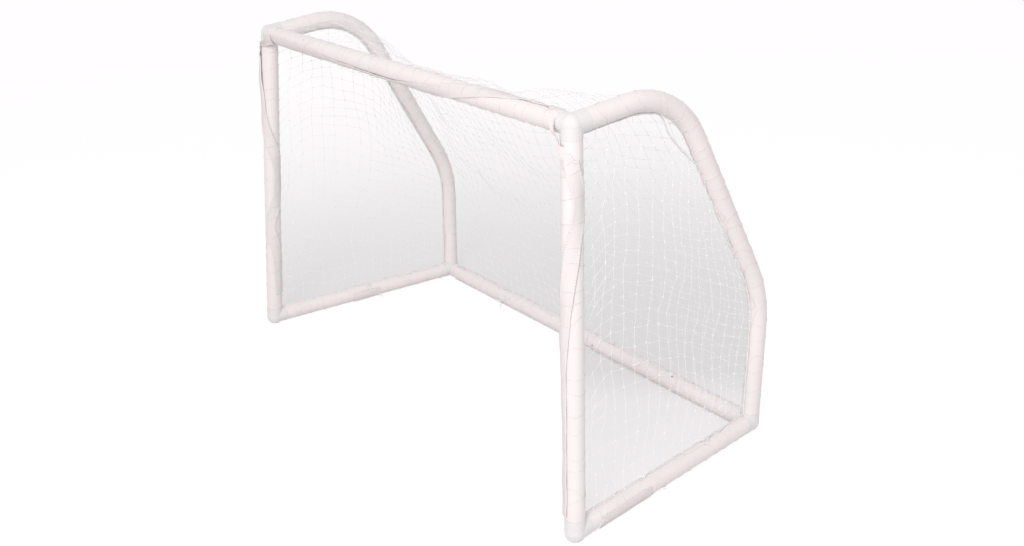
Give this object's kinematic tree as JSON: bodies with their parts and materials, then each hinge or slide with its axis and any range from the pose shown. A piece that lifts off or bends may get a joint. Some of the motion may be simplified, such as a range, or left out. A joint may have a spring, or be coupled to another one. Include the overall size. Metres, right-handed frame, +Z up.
{
  "type": "soccer goal",
  "caption": "Free-standing soccer goal with a white push-together plastic tube frame, bent side arms, splayed front feet and a laced knotted net.",
  "frame": {"origin": "on the floor, under the middle of the whole goal's box", "axes": "+X along the crossbar towards the right-hand post as seen from the mouth's front, +Y from the mouth to the back, +Z up"},
  "size_m": [2.0092, 0.8982, 1.236],
  "materials": {
    "tube_plastic": "warm white extruded plastic tube, satin",
    "corner_plastic": "cool white moulded plastic, soft gloss",
    "net_twine": "white knotted twine",
    "band_cloth": "white woven border band"
  },
  "bodies": {
    "root": {"crossbar": "tube_plastic", "rear_bar": "tube_plastic", "left_post": "tube_plastic", "right_post": "tube_plastic", "left_side_arm": "tube_plastic", "right_side_arm": "tube_plastic", "left_base_rail": "tube_plastic", "right_base_rail": "tube_plastic", "top_left_corner": "corner_plastic", "top_right_corner": "corner_plastic", "left_foot_elbow": "corner_plastic", "right_foot_elbow": "corner_plastic", "rear_left_corner": "corner_plastic", "rear_right_corner": "corner_plastic", "roof_net": "net_twine", "slope_net": "net_twine", "back_net": "net_twine", "left_side_net": "net_twine", "right_side_net": "net_twine", "left_hem_rope": "net_twine", "right_hem_rope": "net_twine", "rear_edge_rope": "net_twine", "crossbar_band": "band_cloth", "left_post_band": "band_cloth", "right_post_band": "band_cloth", "left_rail_band": "band_cloth", "right_rail_band": "band_cloth"}
  },
  "joints": []
}
